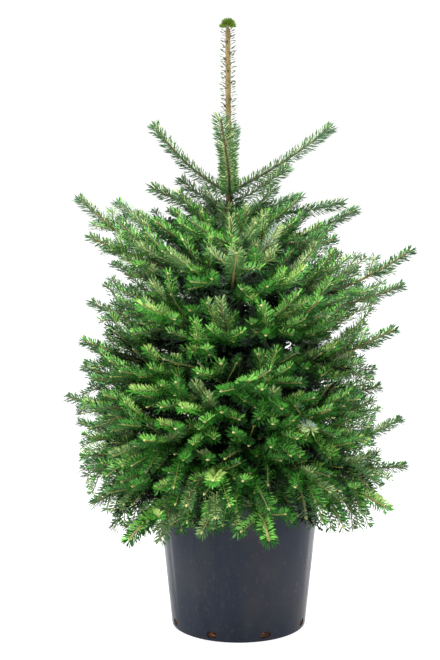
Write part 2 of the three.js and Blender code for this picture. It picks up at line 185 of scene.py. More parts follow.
def feed(tree, socket, value):
    """Gives a socket a value, a colour by its code, or what another node puts out."""
    if isinstance(value, bpy.types.NodeSocket):
        tree.links.new(value, socket)
    else:
        socket.default_value = colour(value) if isinstance(value, str) else value


def node(tree, kind, output, inputs, **settings):
    """An output of a new shader node."""
    made = tree.nodes.new("ShaderNode" + kind)
    for key, value in settings.items():
        setattr(made, key, value)
    for name, value in inputs.items():
        feed(tree, made.inputs[name], value)
    return made.outputs[output]


def material(name, roughness, specular=0.5):
    """A new material, its node tree and its main shader."""
    made = bpy.data.materials.new(name)
    made.use_nodes = True
    shader = made.node_tree.nodes["Principled BSDF"]
    shader.inputs["Roughness"].default_value = roughness
    shader.inputs["Specular IOR Level"].default_value = specular
    return made, made.node_tree, shader


def object_place(tree, scale=(1, 1, 1)):
    """Where a point is on the piece, in metres, with each axis scaled."""
    place = node(tree, "TexCoord", "Object", {})
    return node(tree, "Mapping", "Vector", {"Vector": place, "Scale": scale})


def object_noise(tree, scale, detail, stretch=(1, 1, 1)):
    """Noise that is fixed to the piece, drawn out along an axis where stretch is under 1."""
    inputs = {"Vector": object_place(tree, stretch), "Scale": scale, "Detail": detail}
    return node(tree, "TexNoise", "Fac", inputs)


def ramp(tree, value, stops):
    """Colours along a value, from (place, colour) pairs."""
    made = tree.nodes.new("ShaderNodeValToRGB")
    elements = made.color_ramp.elements
    while len(elements) < len(stops):
        elements.new(0.5)
    for element, (place, shade) in zip(elements, stops):
        element.position = place
        element.color = colour(shade) if isinstance(shade, str) else shade
    tree.links.new(value, made.inputs["Fac"])
    return made.outputs["Color"]


def mixed(tree, share, low, high):
    """Low where share is 0 and high where it is 1."""
    # A mix node has its colour inputs at 6 and 7 and its colour output at 2
    return node(tree, "Mix", 2, {"Factor": share, 6: low, 7: high}, data_type="RGBA")


def spread(tree, value, low, high, least=0, most=1):
    """Least where the value is low, most where it is high, and evenly between."""
    ends = {"From Min": low, "From Max": high, "To Min": least, "To Max": most}
    return node(tree, "MapRange", "Result", {"Value": value, **ends})


def combined(tree, operation, first, second):
    """One number from two, by a named operation."""
    return node(tree, "Math", "Value", {0: first, 1: second}, operation=operation)


def bumped(tree, shader, height, distance, strength):
    """Fine relief on the piece's surface, its distance in metres."""
    inputs = {"Height": height, "Distance": distance, "Strength": strength}
    feed(tree, shader.inputs["Normal"], node(tree, "Bump", "Normal", inputs))


plastic, tree, shader = material("slate_plastic", 0.4, specular=0.06)
streaks = object_noise(tree, scale=26, detail=4, stretch=(1, 1, 0.08))
dust = object_noise(tree, scale=9, detail=5, stretch=(1, 1, 0.6))
scuffs = object_noise(tree, scale=150, detail=6, stretch=(1, 1, 0.6))
facing = {"Vector": object_place(tree, (1, -1, 1))}
across, towards, height = (node(tree, "SeparateXYZ", axis, facing) for axis in "XYZ")
bearing = combined(tree, "ARCTAN2", across, towards)
# The painted reflection streaks stand to the left and right of the front, and fade towards the foot
stops = []
for at, half_width, light in PAINTED_REFLECTION_STREAKS:
    stops += [(at - half_width, grey(0)), (at, grey(light)), (at + half_width, grey(0))]
painted_reflection = ramp(tree, spread(tree, bearing, -math.pi, math.pi), stops)
reflection_from, reflection_to = (z * MM for z in REFLECTION_STREAK_HEIGHTS)
upwards = spread(tree, height, reflection_from, reflection_to, most=0.5)
painted_reflection = combined(tree, "MULTIPLY", painted_reflection, upwards)
wall = mixed(tree, spread(tree, streaks, 0.42, 0.7), "252a35", "2b303a")
wall = mixed(tree, spread(tree, dust, 0.46, 0.7), wall, "36363b")
wall = mixed(tree, spread(tree, scuffs, 0.56, 0.8, most=0.4), wall, "4c4b4c")
# The wall is lightened along the painted reflection streaks
wall = mixed(tree, painted_reflection, wall, "9a969a")
tree.links.new(wall, shader.inputs["Base Color"])
polish = object_noise(tree, scale=24, detail=4)
polish = spread(tree, polish, 0.3, 0.7, least=0.18, most=0.28)
tree.links.new(polish, shader.inputs["Roughness"])
ripples = object_noise(tree, scale=40, detail=2, stretch=(1, 1, 0.3))
bumped(tree, shader, ripples, distance=0.0006, strength=0.15)
pot.data.materials.append(plastic)
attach(pot, "root")
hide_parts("pot")


# --- Soil --------------------------------------------------------------------
# Moist peaty potting soil that fills the pot to a little under its rim, and rises slightly round
# the foot of the trunk. Its top is crumbly.
SOIL_FOOT = 3.4
SOIL_EDGE = 262
SOIL_CROWN = 6
SOIL_TOP = SOIL_EDGE + SOIL_CROWN
SOIL_GAP = 0.3
SOIL_SIDES = 96
# Radii of the rings across its top, which slopes from the wall to the level middle
SLOPE_REACH = 168
SLOPE_RINGS = (160, 145, 125, 105, 85, 65, 48, 34)
LEVEL_RINGS = (24, 12, 3)
CRUMB_SIZE = 9
CRUMB_RELIEF = 5


def soil_radius(z):
    return pot_radius(z) - POT_WALL - SOIL_GAP


soil = turned_up(
    "potting_soil",
    [(60, SOIL_FOOT)]
    + [(soil_radius(z), z) for z in (SOIL_FOOT, 12, 60, 120, 180, 240, SOIL_EDGE)]
    + [(r, SOIL_EDGE + SOIL_CROWN * (1 - r / SLOPE_REACH) ** 0.7) for r in SLOPE_RINGS]
    + [(r, SOIL_TOP) for r in LEVEL_RINGS],
    SOIL_SIDES,
)
start_fresh()
bpy.context.view_layer.objects.active = soil
crumbs = soil.vertex_groups.new(name="top")
on_top = [v.index for v in soil.data.vertices if v.co.z > (SOIL_EDGE - 1) * MM]
crumbs.add(on_top, 1, "REPLACE")
grain = bpy.data.textures.new("crumbs", "CLOUDS")
grain.noise_scale = CRUMB_SIZE * MM
finish_with(
    soil,
    "DISPLACE",
    texture=grain,
    strength=CRUMB_RELIEF * MM,
    mid_level=0.75,
    vertex_group="top",
    texture_coords="LOCAL",
    direction="Z",
)
make_solid_outwards(soil)

earth, tree, shader = material("peaty_soil", 0.95, specular=0.2)
clods = object_noise(tree, scale=130, detail=6)
browns = ((0.3, "1a100a"), (0.5, "3a2416"), (0.62, "6a4020"), (0.72, "8f6a44"))
tree.links.new(ramp(tree, clods, browns), shader.inputs["Base Color"])
bumped(tree, shader, clods, distance=0.002, strength=0.8)
soil.data.materials.append(earth)
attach(soil, "root")
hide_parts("soil")


# --- Roots in the drain holes ------------------------------------------------
# Fine orange-brown roots that have grown round the inside of the wall and show in the holes, with
# a crumb of soil here and there.
ROOTS_A_HOLE = 8
ROOT_SIDES = 5
# Along a root: thin at its ends, thicker in the middle
ROOT_RADII = (0.5, 0.8, 0.4)
UPWARD = np.array((0, 0, 1))


def level(angle):
    """The level direction at a compass angle."""
    return np.array((math.cos(angle), math.sin(angle), 0))


def chance(key):
    """A repeatable number between 0 and 1 for each key."""
    value = math.sin(key * 12.9898) * 43758.5453
    return value - math.floor(value)


def normal(vectors):
    """The same directions, one long."""
    return vectors / np.maximum(np.linalg.norm(vectors, axis=-1, keepdims=True), 1e-9)


def sideways(heading):
    """The level direction to the left of a heading."""
    side = np.cross(UPWARD, heading)
    if side @ side < 1e-3:
        return np.array((1.0, 0, 0))
    return normal(side)


class Joined:
    """A mesh that is put together from arrays of points and triangles, with a material for each."""

    def __init__(self):
        self.points, self.faces, self.slots, self.count = [], [], [], 0

    def add(self, points, faces, slots):
        """Adds triangles, given by the numbers of their own points."""
        self.points.append(np.asarray(points, float).reshape(-1, 3))
        self.faces.append(np.asarray(faces, int).reshape(-1, 3) + self.count)
        self.slots.append(np.broadcast_to(slots, len(self.faces[-1])))
        self.count += len(self.points[-1])

    def tube(self, line, radii, sides, slot, relief=None):
        """A closed tube round a line of points, its size changed at each corner by relief."""
        line = np.asarray(line, float)
        ahead = normal(np.gradient(line, axis=0))
        side = np.array([sideways(a) for a in ahead])
        down = np.cross(side, ahead)
        angles = 2 * np.pi * np.arange(sides) / sides
        across = side[:, None] * np.cos(angles)[:, None] + down[:, None] * np.sin(angles)[:, None]
        size = np.broadcast_to(np.asarray(radii, float), len(line))[:, None, None]
        if relief is not None:
            size = size * relief[:, :, None]
        rings = line[:, None] + across * size
        points = np.concatenate([rings.reshape(-1, 3), line[:1], line[-1:]])
        n, k = len(line), np.arange(sides)
        after = (k + 1) % sides
        faces = []
        for low in range(0, (n - 1) * sides, sides):
            high = low + sides
            faces.append(np.stack([low + k, high + after, low + after], 1))
            faces.append(np.stack([low + k, high + k, high + after], 1))
        last = (n - 1) * sides
        faces.append(np.stack([k, after, np.full(sides, n * sides)], 1))
        faces.append(np.stack([last + after, last + k, np.full(sides, n * sides + 1)], 1))
        self.add(points, np.concatenate(faces), slot)

    def piece(self, name, materials, smooth):
        """The finished piece, in metres."""
        points, faces = np.concatenate(self.points) * MM, np.concatenate(self.faces)
        mesh = bpy.data.meshes.new(name)
        mesh.vertices.add(len(points))
        mesh.vertices.foreach_set("co", points.astype(np.float32).ravel())
        mesh.loops.add(faces.size)
        mesh.loops.foreach_set("vertex_index", faces.astype(np.int32).ravel())
        mesh.polygons.add(len(faces))
        mesh.polygons.foreach_set("loop_start", np.arange(0, faces.size, 3, dtype=np.int32))
        mesh.polygons.foreach_set("material_index", np.concatenate(self.slots).astype(np.int32))
        mesh.polygons.foreach_set("use_smooth", np.full(len(faces), smooth))
        mesh.update(calc_edges=True)
        for made in materials:
            mesh.materials.append(made)
        piece = bpy.data.objects.new(name, mesh)
        bpy.context.scene.collection.objects.link(piece)
        return piece


def plain(name, code, roughness, specular=0.5):
    """A material of one plain colour."""
    made, _, shader = material(name, roughness, specular)
    shader.inputs["Base Color"].default_value = colour(code)
    return made


strands = Joined()
for hole in range(POT_HOLES):
    turned = 2 * math.pi * (hole + 0.5) / POT_HOLES
    out = level(turned)
    along = np.cross(UPWARD, out)
    for i in range(ROOTS_A_HOLE):
        key = 5000 + 40 * hole + i
        deep = pot_radius(HOLE_HEIGHT) - 1 - 2.2 * chance(key)
        middle = out * deep + (0, 0, HOLE_HEIGHT + 9 * (chance(key + 0.1) - 0.5))
        middle = middle + along * 12 * (chance(key + 0.2) - 0.5)
        lean = 2.4 * (chance(key + 0.3) - 0.5)
        reach = normal(along + lean * UPWARD) * (4 + 3 * chance(key + 0.4))
        bend = 3 * (chance(key + 0.5) - 0.5) * UPWARD - 0.6 * out
        line = [middle - reach, middle + bend, middle + reach]
        strands.tube(line, ROOT_RADII, ROOT_SIDES, i % 3)
root_orange = plain("root_orange", "5e3518", 0.8)
root_dark = plain("root_dark", "140c08", 0.9)
root_pale = plain("root_pale", "8a6a48", 0.8)
roots = strands.piece("hole_roots", [root_orange, root_dark, root_pale], True)
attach(roots, "root")


# --- Trunk and leader --------------------------------------------------------
# The stem of the young tree, straight but for a slight lean, flared at the soil and slim and tan in
# its last year's growth, the leader. Young fir bark is smooth and grey-brown, with low resin
# blisters, a swelling at each whorl, and on the leader the small pegs that needles stand on.
TREE_TOP = 1300
TRUNK_FOOT = 268.3
TRUNK_TIP = 1281
TRUNK_LEAN = -22.5
TRUNK_SIDES = 20
TRUNK_RINGS = 150
LEADER_FOOT = 958
FLARE = 8
FLARE_HEIGHT = 26
FLARE_LOBES = 5
# Places on the trunk as shares of the way from its foot to its top, and its radii there
TAPER_FOOT = 268
TAPER_TOP = 1276
TAPER_PLACES = (0, 0.3, 0.62, 0.67, 1)
TAPER_RADII = (18.5, 13.5, 7.8, 6.4, 5.2)
WHORL_HEIGHTS = (325, 370, 415, 465, 510, 605, 700, 745, 795, 881, 936)
# How much the trunk swells at a whorl, and how far up and down
WHORL_SWELLING = 0.09
SWELLING_SPAN = 9
BLISTER_SIZE = 6
BLISTER_RELIEF = 1.7


def trunk_share(z):
    """How far up the trunk a height is, from 0 at its foot to 1 at its top."""
    return min(1, max(0, (z - TAPER_FOOT) / (TAPER_TOP - TAPER_FOOT)))


def trunk_axis(z):
    """The middle of the trunk at a height."""
    rest = 1 - trunk_share(z)
    return np.array((TRUNK_LEAN * (1 - rest * rest), 0, z))


def trunk_radius(z):
    return float(np.interp(trunk_share(z), TAPER_PLACES, TAPER_RADII))


def trunk_flare(z):
    return FLARE * math.exp(-(z - TRUNK_FOOT) / FLARE_HEIGHT)


def trunk_size(z):
    """The radius with its swellings and its flare, rounded off at the tip."""
    swelling = sum(math.exp(-(((z - at) / SWELLING_SPAN) ** 2)) for at in WHORL_HEIGHTS)
    closing = min(1, math.sqrt(max(0.02, (TRUNK_TIP - z) / 6)))
    wood = trunk_radius(z) * (1 + WHORL_SWELLING * min(swelling, 1))
    return (wood + trunk_flare(z)) * closing


# The rings stand closer together in the flare
shares = [(i / TRUNK_RINGS) ** 1.1 for i in range(TRUNK_RINGS + 1)]
heights = [TRUNK_FOOT + (TRUNK_TIP - TRUNK_FOOT) * share for share in shares]
rings = [(trunk_size(z), z) for z in heights]
trunk = turned_up("trunk_and_leader", rings, TRUNK_SIDES, trunk_axis)
points = np.zeros(len(trunk.data.vertices) * 3)
trunk.data.vertices.foreach_get("co", points)
points = points.reshape(-1, 3)
for point in points:
    z = point[2] / MM
    centre = trunk_axis(z) * MM
    angle = math.atan2(point[1] - centre[1], point[0] - centre[0])
    lobe = 0.3 * math.sin(FLARE_LOBES * angle) * trunk_flare(z)
    point[:2] += lobe * MM * np.array((math.cos(angle), math.sin(angle)))
trunk.data.vertices.foreach_set("co", points.ravel())
finish_with(trunk, "SUBSURF", subdivision_type="SIMPLE", levels=1, render_levels=1)
blisters = bpy.data.textures.new("blisters", "CLOUDS")
blisters.noise_scale = BLISTER_SIZE * MM
finish_with(
    trunk,
    "DISPLACE",
    texture=blisters,
    strength=-BLISTER_RELIEF * MM,
    mid_level=0.5,
    texture_coords="LOCAL",
)
make_solid_outwards(trunk)
bpy.ops.object.shade_smooth()


def bark_material(name, low, high, fleck, along, start, end):
    """Mottled and flecked bark, whose two colours change from start to end along some axes."""
    made, tree, shader = material(name, 0.8, specular=0.3)
    axes = {0: object_place(tree, along)}
    way = node(tree, "VectorMath", "Value", axes, operation="LENGTH")
    younger = spread(tree, way, start * MM, end * MM)
    mottle = object_noise(tree, scale=120, detail=4, stretch=(1, 1, 0.35))
    mottle = spread(tree, mottle, 0.35, 0.7)
    spots = spread(tree, object_noise(tree, scale=260, detail=2), 0.62, 0.68)
    base = mixed(tree, younger, mixed(tree, mottle, low[0], low[1]), high[0])
    base = mixed(tree, mottle, base, mixed(tree, younger, low[1], high[1]))
    base = mixed(tree, spots, base, fleck)
    tree.links.new(base, shader.inputs["Base Color"])
    fibres = object_noise(tree, scale=300, detail=4, stretch=(1, 1, 0.5))
    bumped(tree, shader, fibres, distance=0.0008, strength=0.6)
    return made


stem_bark = bark_material(
    "stem_bark", ("45392d", "5f5040"), ("77653f", "97835a"), "3c2c1a", (0, 0, 1), 880, 1000
)
trunk.data.materials.append(stem_bark)
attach(trunk, "root")
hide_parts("trunk")


# --- Boughs ------------------------------------------------------------------
# The limbs of each year's whorl, set unevenly round the trunk. Each is one tapering limb of brown
# bark to its tip, where it has as many joints as years. The lowest have set and droop at the tip.
OLD_NODES = (0.34, 0.56, 0.78)
# Height, stagger, bow, radius at the trunk, nodes, and for each limb its compass angle, the reach
# of its tip, the rise of its tip and, if it differs, its own bow
WHORLS = [
    (325, 8, 28, 6, OLD_NODES, [(-32, 353, -25), (-80, 345, -50), (-127, 350, -65),
     (-172, 310, -52), (122, 335, -30), (62, 345, -25), (10, 371, 5, -4)]),
    (370, 0, 6, 6.5, OLD_NODES, [(187, 327, 5), (-98, 320, 15)]),
    (415, 20, -10, 7.5, OLD_NODES, [(20, 390, 6, -40), (-54, 310, 95), (-122, 330, 40),
     (162, 391, 60), (90, 350, 40)]),
    (465, 0, -5, 6.5, OLD_NODES, [(176, 322, 92), (3, 308, 50)]),
    (510, 24, -8, 6.5, OLD_NODES, [(-15, 340, 140), (-85, 335, 70), (-170, 317, 112),
     (125, 335, 90), (52, 335, 90)]),
    (605, 36, -12, 6, OLD_NODES, [(12, 376, 125), (-57, 305, 118), (-125, 300, 110),
     (168, 312, 88), (92, 330, 105)]),
    (700, 20, -14, 5.2, OLD_NODES, [(-8, 375, 112, -36), (-88, 310, 120), (178, 321, 218),
     (110, 320, 150), (50, 320, 140)]),
    (745, 0, -12, 4.8, OLD_NODES, [(198, 300, 97)]),
    (795, 22, -12, 4.4, (0.3, 0.65), [(27, 308, 100), (-45, 175, 75), (-135, 208, 79),
     (147, 300, 115), (88, 270, 110)]),
    (881, 0, -5, 2.8, (), [(175, 160, 62), (8, 238, 30), (48, 205, 40)]),
    (936, 0, -24, 3.6, (), [(180, 155, 134, -18), (5, 211, 133, -8), (-95, 173, 141),
     (88, 170, 140)]),
]
SWAY = 0.05
LIMB_TIP = 2.2
LIMB_SIDES = 8
LIMB_RING_STEP = 7
JOINT_SWELLING = 0.16
JOINT_SPAN = 6
BARK_RELIEF = 0.13


class Limb:
    """One limb: its line, its size and its place in the whorls."""

    def __init__(self, w, i):
        self.height, self.stagger, bow, self.radius, self.nodes, rows = WHORLS[w]
        azimuth, self.reach, self.rise, *own_bow = rows[i]
        self.bow = own_bow[0] if own_bow else bow
        self.azimuth = math.radians(azimuth)
        self.whorl = w
        self.key = 1000 * (w + 1) + 100 * i
        self.name = f"{w + 1}_{i + 1}"

    def axis(self, share):
        """The middle of the limb at a share of its reach."""
        out = self.reach * share
        aside = SWAY * self.reach * (2 * chance(self.key) - 1) * math.sin(math.pi * share)
        stagger = self.stagger * (2 * chance(self.key + 50) - 1) * (1 - share)
        height = self.height + stagger + self.rise * share + 4 * self.bow * share * (1 - share)
        root = trunk_axis(self.height)
        cos, sin = math.cos(self.azimuth), math.sin(self.azimuth)
        return np.array((root[0] + out * cos - aside * sin, out * sin + aside * cos, height))

    def heading(self, share):
        return normal(self.axis(share + 0.01) - self.axis(share - 0.01))

    def size(self, share):
        return self.radius + (LIMB_TIP - self.radius) * math.sqrt(share)


limbs = [Limb(w, i) for w, whorl in enumerate(WHORLS) for i in range(len(whorl[-1]))]
wood = Joined()
for limb in limbs:
    steps = max(8, int(limb.reach / LIMB_RING_STEP))
    shares = np.linspace(0, 0.995, steps + 1)
    off_joints = [(shares - node) * limb.reach / JOINT_SPAN for node in (0, *limb.nodes)]
    swelling = 1 + JOINT_SWELLING * sum(np.exp(-(off**2)) for off in off_joints)
    line = [limb.axis(share) for share in shares]
    radii = [limb.size(share) * swell for share, swell in zip(shares, swelling)]
    rough = [[chance(limb.key + 17 * i + k) for k in range(LIMB_SIDES)] for i in range(steps + 1)]
    wood.tube(line, radii, LIMB_SIDES, 0, relief=1 + BARK_RELIEF * (np.array(rough) - 0.5))
bough_bark = bark_material(
    "bough_bark", ("43362a", "655440"), ("8c7b4e", "ae9b64"), "4a3822", (1, 1, 0), 60, 280
)
boughs = wood.piece("boughs", [bough_bark], True)
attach(boughs, "root")
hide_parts(*[f"bough_{limb.name}" for limb in limbs if limb.whorl in (0, 2)])


# --- Twigs -------------------------------------------------------------------
# Each bough forks every year, and so do its twigs, in flat fans that tilt out of the layer. A twig
# keeps to the space that is nearer its own bough than any other, clear of pot and trunk. The wood
# is yellow-green on some shoots and olive on others, and brown inside the crown.
# How far a fork turns from its twig and how unevenly, in degrees, and how much it tilts
FORK_ANGLE = 54
FORK_SPREAD = 14
FORK_TILT = 0.4
LEAST_TILT = 0.7
# Each year's growth is shorter than the last, lifts a little and turns to a side, in degrees
FORK_SHRINK = 0.82
YEARLY_SHRINK = 0.9
YEARLY_UNEVEN = 0.2
YEARLY_LIFT = 0.1
YEARLY_TURN = 9
# A height counts for more than the same way across, because the layers are flat
LAYER_FLATNESS = 1.5
SPACE_MARGIN = 1
POT_CLEARANCE = 6
TRUNK_CLEARANCE = 3
STRETCH = np.array((1, 1, LAYER_FLATNESS))

lines = [[limb.axis(share) for share in (0.04, 0.25, 0.5, 0.75, 1)] for limb in limbs]
starts = np.array([line[:-1] for line in lines]) * STRETCH
spans = np.array([line[1:] for line in lines]) * STRETCH - starts
leader_start = trunk_axis(LEADER_FOOT) * STRETCH
leader_span = trunk_axis(TREE_TOP) * STRETCH - leader_start


def distances(point, start, span):
    """From a point to each stretch, with heights counted more."""
    share = ((point - start) * span).sum(-1) / (span * span).sum(-1)
    return np.linalg.norm(start + np.clip(share, 0, 1)[..., None] * span - point, axis=-1)


def is_open(point):
    """Whether a point is clear of pot, soil and trunk."""
    x, y, z = point
    over_pot = math.hypot(x, y) < pot_radius(POT_HEIGHT) + POT_RIM + POT_CLEARANCE
    if z < (POT_HEIGHT + POT_CLEARANCE if over_pot else 0):
        return False
    return math.hypot(x - trunk_axis(z)[0], y) > trunk_radius(z) + TRUNK_CLEARANCE


def in_space(limb, point):
    """Whether a point is open and nearer to its own limb than to any other and to the leader."""
    if not is_open(point):
        return False
    flat = point * STRETCH
    near = distances(flat, starts, spans).min(axis=1)
    own = limbs.index(limb)
    mine = near[own] + SPACE_MARGIN
    near[own] = np.inf
    return mine < near.min() and mine < distances(flat, leader_start, leader_span)


def turn(heading, degrees, lift):
    """A heading turned to the left and lifted a little."""
    side = sideways(heading)
    above = np.cross(heading, side)
    angle = math.radians(degrees)
    return normal(heading * math.cos(angle) + side * math.sin(angle) + above * lift)


class Shoot:
    """One year's growth, from one joint to the next, with its headings at either end.

    The order is 0 on a bough and more at each fork. Inner is 0 outside, 1 inside the crown and 2 at
    its heart.
    """

    def __init__(self, limb, start, end, way, onward, age, order, key, tip, inner=None):
        self.limb, self.start, self.end, self.way, self.onward = limb, start, end, way, onward
        self.age, self.order, self.key, self.tip = age, order, key, tip
        self.inner = int(age > (1 if order == 0 else 0)) if inner is None else inner

    def at(self, t):
        """The point and heading at shares of the shoot, along a smooth curve."""
        t = np.asarray(t, float)[:, None]
        length = np.linalg.norm(self.end - self.start)
        a, b = self.way * length, self.onward * length
        p, q = self.start, self.end
        point = (
            (2 * t**3 - 3 * t**2 + 1) * p + (t**3 - 2 * t**2 + t) * a
            + (3 * t**2 - 2 * t**3) * q + (t**3 - t**2) * b
        )
        ahead = (6 * t**2 - 6 * t) * p + (3 * t**2 - 4 * t + 1) * a
        return point, normal(ahead + (6 * t - 6 * t**2) * q + (3 * t**2 - 2 * t) * b)


shoots = []


def grow_twig(limb, start, heading, years, step, order, key):
    """Grows a twig year by year, with two forks at each joint, as far as its space is open."""
    way, grown = heading, []
    for year in range(years):
        length = step * YEARLY_SHRINK**year * (1 + YEARLY_UNEVEN * (chance(key + year) - 0.5))
        end = start + way * length
        if not in_space(limb, end):
            break
        onward = turn(way, YEARLY_TURN * (2 * chance(key + 31 * year) - 1), YEARLY_LIFT)
        age = years - 1 - year
        grown.append(Shoot(limb, start, end, way, onward, age, order, key + year, False))
        if age:
            for side in (-1, 1):
                fork = key * 8 + year * 2 + (side > 0) + 1
                angle = side * (FORK_ANGLE + FORK_SPREAD * (chance(fork) - 0.5))
                lift = YEARLY_LIFT + FORK_TILT * (2 * chance(fork + 7) - 1)
                forked = turn(way, angle, lift)
                grow_twig(limb, end, forked, age, length * FORK_SHRINK, order + 1, fork)
        start, way = end, onward
    if grown:
        grown[-1].tip = True
        shoots.extend(grown)


for limb in limbs:
    # Needles begin a little way out on a bough, and almost at the trunk on a young one
    places = [0.12, *limb.nodes, 1] if limb.nodes else [0.03, 0.5, 1]
    for i, (low, high) in enumerate(zip(places, places[1:])):
        age = len(places) - 2 - i if limb.nodes else 0
        start, end = limb.axis(low), limb.axis(high)
        way, onward = limb.heading(low), limb.heading(high)
        shoots.append(Shoot(limb, start, end, way, onward, age, 0, limb.key + i, high == 1))
    hand = -1 if chance(limb.key + 70) < 0.5 else 1
    for i, share in enumerate(limb.nodes):
        years = len(limb.nodes) - i
        step = limb.reach * ((1 - limb.nodes[0]) / len(limb.nodes)) * FORK_SHRINK
        way = limb.heading(share)
        for side in (-1, 1):
            key = limb.key + 10 * i + side + 2
            upward = side * hand * (-1 if i % 2 else 1)
            tilt = upward * (LEAST_TILT + (1 - LEAST_TILT) * chance(key + 7))
            angle = side * (FORK_ANGLE + FORK_SPREAD * (chance(key) - 0.5))
            heading = turn(way, angle, YEARLY_LIFT + FORK_TILT * tilt)
            grow_twig(limb, limb.axis(share), heading, years, step, 1, key)

# Under the top whorl single shoots leave the trunk: their compass angle, the reach and height of
# their tip, and the height of their root
TRUNK_SHOOTS = (
    (168, 100, 958, 900),
    (-12, 120, 983, 915),
    (-28, 165, 925, 830),
    (-150, 118, 930, 850),
    (40, 120, 940, 855),
    (115, 110, 945, 858),
)
for i, (azimuth, reach, height, root_height) in enumerate(TRUNK_SHOOTS):
    outward = level(math.radians(azimuth))
    start = trunk_axis(root_height) + outward * trunk_radius(root_height)
    end = trunk_axis(height) + outward * reach
    middle = (start + end) / 2
    nearest = min(limbs, key=lambda limb: np.linalg.norm(limb.axis(0.6) - middle))
    way = normal(end - start + (0, 0, -0.25 * reach))
    onward = normal(end - start + (0, 0, 0.2 * reach))
    shoots.append(Shoot(nearest, start, end, way, onward, 0, 1, 50 + i, True))

# Every open place in the crown's outer shell draws a shoot from the wood that can reach it best,
# and so do the places inside. These are the reaches of the crown's dense part, left and right
BODY_HEIGHTS = (205, 240, 330, 450, 550, 600, 650, 720, 780, 850, 885, 900, 910)
BODY_LEFT = (245, 295, 335, 338, 318, 310, 280, 265, 262, 272, 235, 90, 40)
BODY_RIGHT = (250, 300, 316, 305, 305, 262, 280, 310, 275, 222, 180, 70, 40)
# How low the lowest shoots hang, and where they hang lower: the compass angle, by how much, and
# how sharply
SKIRT_HEIGHT = 286
SKIRT_LOWS = ((203, 58, 2), (-18, 46, 4))
# The heights between which places are filled: all, just over the rim, and between two whorls
BODY = (BODY_HEIGHTS[0], BODY_HEIGHTS[-1])
OVER_RIM = (BODY_HEIGHTS[0], 390)
BETWEEN_WHORLS = (480, 660)
# How long the shoots are, low and high in the crown, and how steeply they rise
LENGTH_HEIGHTS = (560, 820)
SHOOT_LENGTHS = (84, 112)
SHOOT_LONGEST = 165
LIFT_HEIGHTS = (250, 330, 420, 600, 900)
LIFTS = (-1.6, -0.45, 0.05, 0.3, 0.8)
# On a limb there is a joint that a shoot can start from at each step, in millimetres
JOINT_STEP = 24
# A shoot leaves its wood at about this angle. What speaks against a joint is each degree off it,
# each degree off the way that the crown grows, and each millimetre off the length
SHOOT_ANGLE = 40
WIDEST_ANGLE = 90
ANGLE_COST = 0.5
WAY_COST = 0.8
LENGTH_COST = 0.7
# How strongly it curves away from its wood and up to its tip
CURVE = 0.3
# Steps that scatter places evenly, as shares of the turn and of the height
EVEN_TURN = 0.7548776662
EVEN_RISE = 0.569840291


def crown_radius(z, azimuth):
    """How far the dense part of the crown reaches at a height and a compass angle."""
    left = np.interp(z, BODY_HEIGHTS, BODY_LEFT)
    right = np.interp(z, BODY_HEIGHTS, BODY_RIGHT)
    return left + (right - left) * (1 + math.cos(azimuth)) / 2


def skirt_height(azimuth):
    """How low the lowest shoots hang at a compass angle, unevenly all round."""
    height = SKIRT_HEIGHT + 9 * math.sin(5 * azimuth + 1) + 6 * math.sin(9 * azimuth)
    for at, lower, power in SKIRT_LOWS:
        height -= lower * max(0, math.cos(azimuth - math.radians(at))) ** power
    return height


